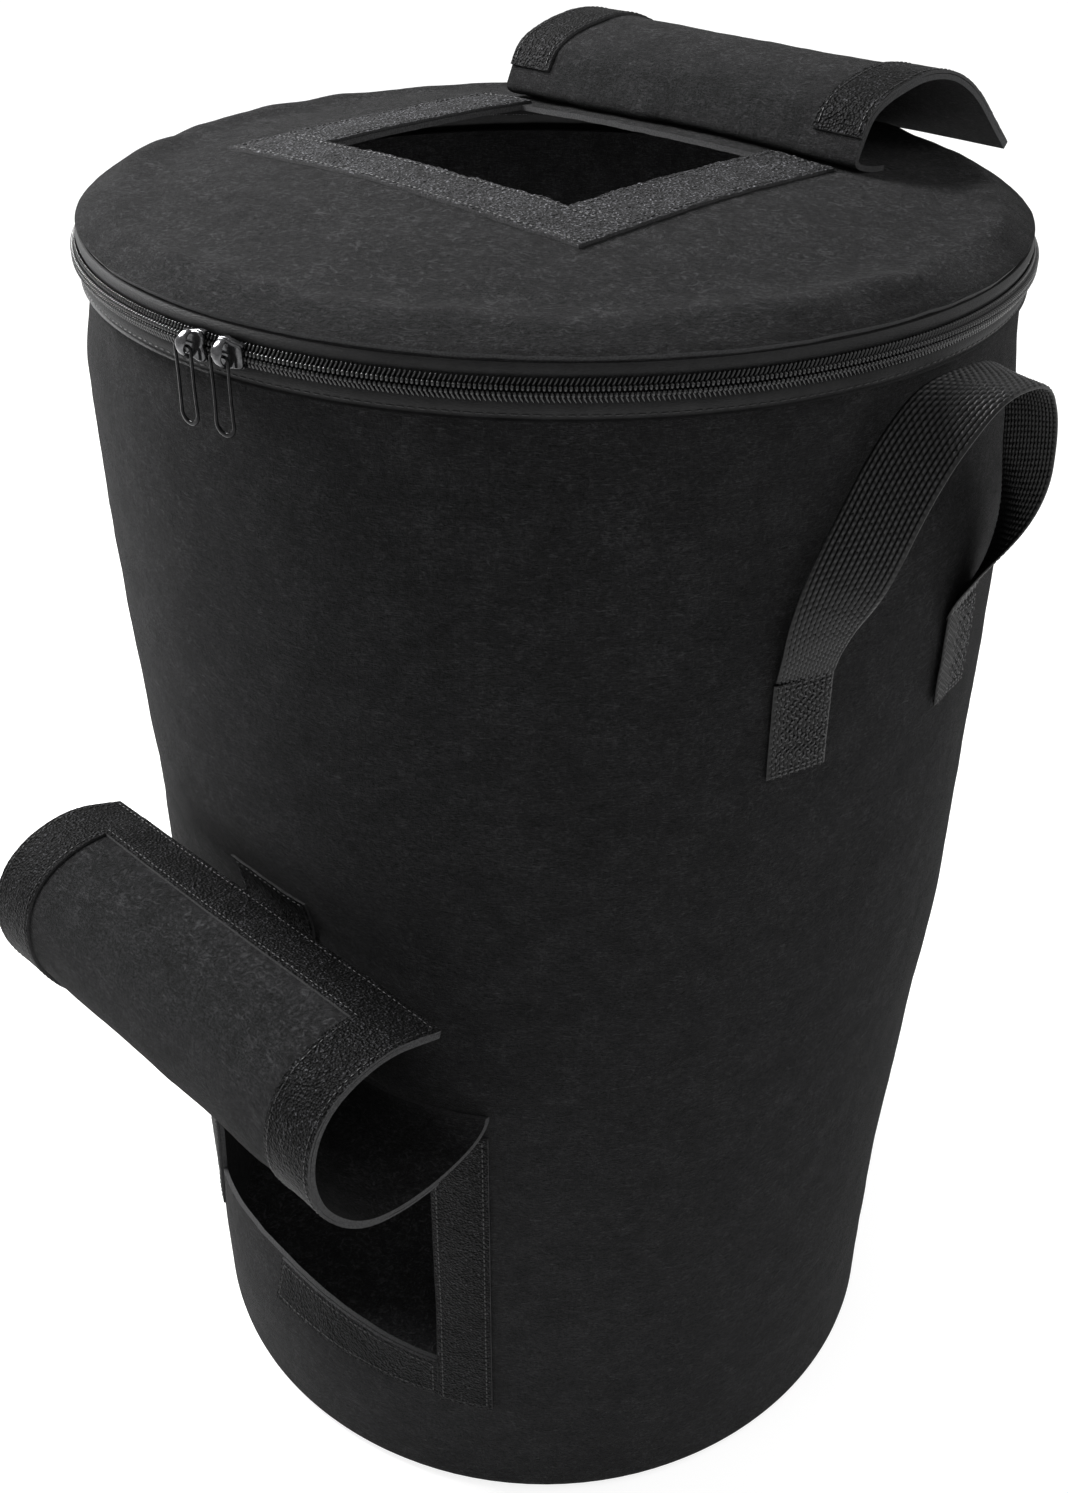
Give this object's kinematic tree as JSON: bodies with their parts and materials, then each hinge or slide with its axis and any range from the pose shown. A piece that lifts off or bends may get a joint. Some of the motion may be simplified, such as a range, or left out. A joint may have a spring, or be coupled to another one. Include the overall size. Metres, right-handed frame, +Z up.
{
  "type": "fabric grow bag",
  "caption": "Tall round felt grow bag with a zipped felt lid, a fold-back planting flap in the lid, a roll-up harvest window in the wall and webbing handles.",
  "frame": {"origin": "centre of the base's underside", "axes": "+Z up the bag's axis, -Y out through the harvest window, +X and -X out through the two handles, +Y towards the lid's felt hinge"},
  "size_m": [0.4175, 0.4002, 0.5934],
  "materials": {
    "felt": "matte needle-punched felt",
    "hook_and_loop": "matte, fine hooks and loops with small sparkles",
    "webbing": "satin basket weave",
    "zip_tape": "satin woven tape",
    "zip_coil": "glossy nylon coil",
    "slider_metal": "gloss black-nickel"
  },
  "bodies": {
    "bag": {"wall_panel": "felt", "base_panel": "felt", "zip_tape_lower": "zip_tape", "zip_coil_lower": "zip_coil", "zip_end_stop_left": "slider_metal", "zip_end_stop_right": "slider_metal", "hinge_felt_lower": "felt", "window_hook_left": "hook_and_loop", "window_hook_right": "hook_and_loop", "window_hook_bottom": "hook_and_loop", "roll_keeper_patch": "hook_and_loop", "window_flap_root": "felt", "handle_right_sewn_end_a": "webbing", "handle_right_sewn_end_b": "webbing", "handle_left_sewn_end_a": "webbing", "handle_left_sewn_end_b": "webbing"},
    "lid": {"lid_panel": "felt", "zip_tape_upper": "zip_tape", "zip_coil_upper": "zip_coil", "hinge_felt_upper": "felt", "lid_hook_front": "hook_and_loop", "lid_hook_left": "hook_and_loop", "lid_hook_right": "hook_and_loop"},
    "slider_left": {"zip_slider_left": "slider_metal"},
    "slider_right": {"zip_slider_right": "slider_metal"},
    "pull_left": {"zip_pull_left": "slider_metal"},
    "pull_right": {"zip_pull_right": "slider_metal"},
    "handle_right": {"handle_right_loop": "webbing"},
    "handle_left": {"handle_left_loop": "webbing"},
    "top_flap_1": {"top_flap_felt_1": "felt", "top_flap_loop_left_1": "hook_and_loop", "top_flap_loop_right_1": "hook_and_loop"},
    "top_flap_2": {"top_flap_felt_2": "felt", "top_flap_loop_left_2": "hook_and_loop", "top_flap_loop_right_2": "hook_and_loop"},
    "top_flap_3": {"top_flap_felt_3": "felt", "top_flap_loop_left_3": "hook_and_loop", "top_flap_loop_right_3": "hook_and_loop", "top_flap_loop_edge": "hook_and_loop"},
    "window_flap_1": {"window_flap_felt_1": "felt", "window_flap_loop_left_1": "hook_and_loop", "window_flap_loop_right_1": "hook_and_loop"},
    "window_flap_2": {"window_flap_felt_2": "felt", "window_flap_loop_left_2": "hook_and_loop", "window_flap_loop_right_2": "hook_and_loop"},
    "window_flap_3": {"window_flap_felt_3": "felt", "window_flap_loop_left_3": "hook_and_loop", "window_flap_loop_right_3": "hook_and_loop"},
    "window_flap_4": {"window_flap_felt_4": "felt", "window_flap_loop_left_4": "hook_and_loop", "window_flap_loop_right_4": "hook_and_loop"},
    "window_flap_5": {"window_flap_felt_5": "felt", "window_flap_loop_left_5": "hook_and_loop", "window_flap_loop_right_5": "hook_and_loop", "window_flap_loop_edge": "hook_and_loop"}
  },
  "joints": [
    {"name": "lid_hinge", "type": "hinge", "parent": "bag", "child": "lid", "pos_m": [0, 0.177, 0.54], "axis": [-1, 0, 0], "range_deg": [0, 170]},
    {"name": "zip_slide_left", "type": "hinge", "parent": "bag", "child": "slider_left", "pos_m": [0, 0, 0.54], "axis": [0, 0, -1], "range_deg": [0, 163]},
    {"name": "zip_slide_right", "type": "hinge", "parent": "bag", "child": "slider_right", "pos_m": [0, 0, 0.54], "axis": [0, 0, 1], "range_deg": [0, 148]},
    {"name": "pull_swing_left", "type": "hinge", "parent": "slider_left", "child": "pull_left", "pos_m": [0.0157, -0.17941, 0.54], "axis": [-0.9962, -0.0872, 0], "range_deg": [0, 150]},
    {"name": "pull_swing_right", "type": "hinge", "parent": "slider_right", "child": "pull_right", "pos_m": [0.03127, -0.17736, 0.54], "axis": [-0.9848, -0.1736, 0], "range_deg": [0, 150]},
    {"name": "handle_right_swing", "type": "hinge", "parent": "bag", "child": "handle_right", "pos_m": [0.17339, -0.00605, 0.431], "axis": [0.0349, 0.9994, 0], "range_deg": [0, 120]},
    {"name": "handle_left_swing", "type": "hinge", "parent": "bag", "child": "handle_left", "pos_m": [-0.17339, 0.00605, 0.431], "axis": [-0.0349, -0.9994, 0], "range_deg": [0, 120]},
    {"name": "top_flap_fold_1", "type": "hinge", "parent": "lid", "child": "top_flap_1", "pos_m": [0, 0.07, 0.569], "axis": [1, 0, 0], "range_deg": [0, 120.96]},
    {"name": "top_flap_fold_2", "type": "hinge", "parent": "top_flap_1", "child": "top_flap_2", "pos_m": [0, 0.079, 0.584], "axis": [1, 0, 0], "range_deg": [0, 52.43]},
    {"name": "top_flap_fold_3", "type": "hinge", "parent": "top_flap_2", "child": "top_flap_3", "pos_m": [0, 0.13, 0.59], "axis": [1, 0, 0], "range_deg": [0, 49.26]},
    {"name": "window_flap_fold_1", "type": "hinge", "parent": "bag", "child": "window_flap_1", "pos_m": [0, -0.1725, 0.226], "axis": [1, 0, 0], "range_deg": [0, 104.7]},
    {"name": "window_flap_fold_2", "type": "hinge", "parent": "window_flap_1", "child": "window_flap_2", "pos_m": [0, -0.203, 0.234], "axis": [1, 0, 0], "range_deg": [0, 43.05]},
    {"name": "window_flap_fold_3", "type": "hinge", "parent": "window_flap_2", "child": "window_flap_3", "pos_m": [0, -0.222, 0.264], "axis": [1, 0, 0], "range_deg": [0, 43.07]},
    {"name": "window_flap_fold_4", "type": "hinge", "parent": "window_flap_3", "child": "window_flap_4", "pos_m": [0, -0.216, 0.296], "axis": [1, 0, 0], "range_deg": [0, 58.03]},
    {"name": "window_flap_fold_5", "type": "hinge", "parent": "window_flap_4", "child": "window_flap_5", "pos_m": [0, -0.188, 0.307], "axis": [1, 0, 0], "range_deg": [0, 37.77]}
  ],
  "couplings": [
    {"joint": "top_flap_fold_2", "follows": "top_flap_fold_1", "ratio": 0.43258},
    {"joint": "top_flap_fold_3", "follows": "top_flap_fold_1", "ratio": 0.40638},
    {"joint": "window_flap_fold_2", "follows": "window_flap_fold_1", "ratio": 0.41028},
    {"joint": "window_flap_fold_3", "follows": "window_flap_fold_1", "ratio": 0.41039},
    {"joint": "window_flap_fold_4", "follows": "window_flap_fold_1", "ratio": 0.55333},
    {"joint": "window_flap_fold_5", "follows": "window_flap_fold_1", "ratio": 0.35978}
  ]
}
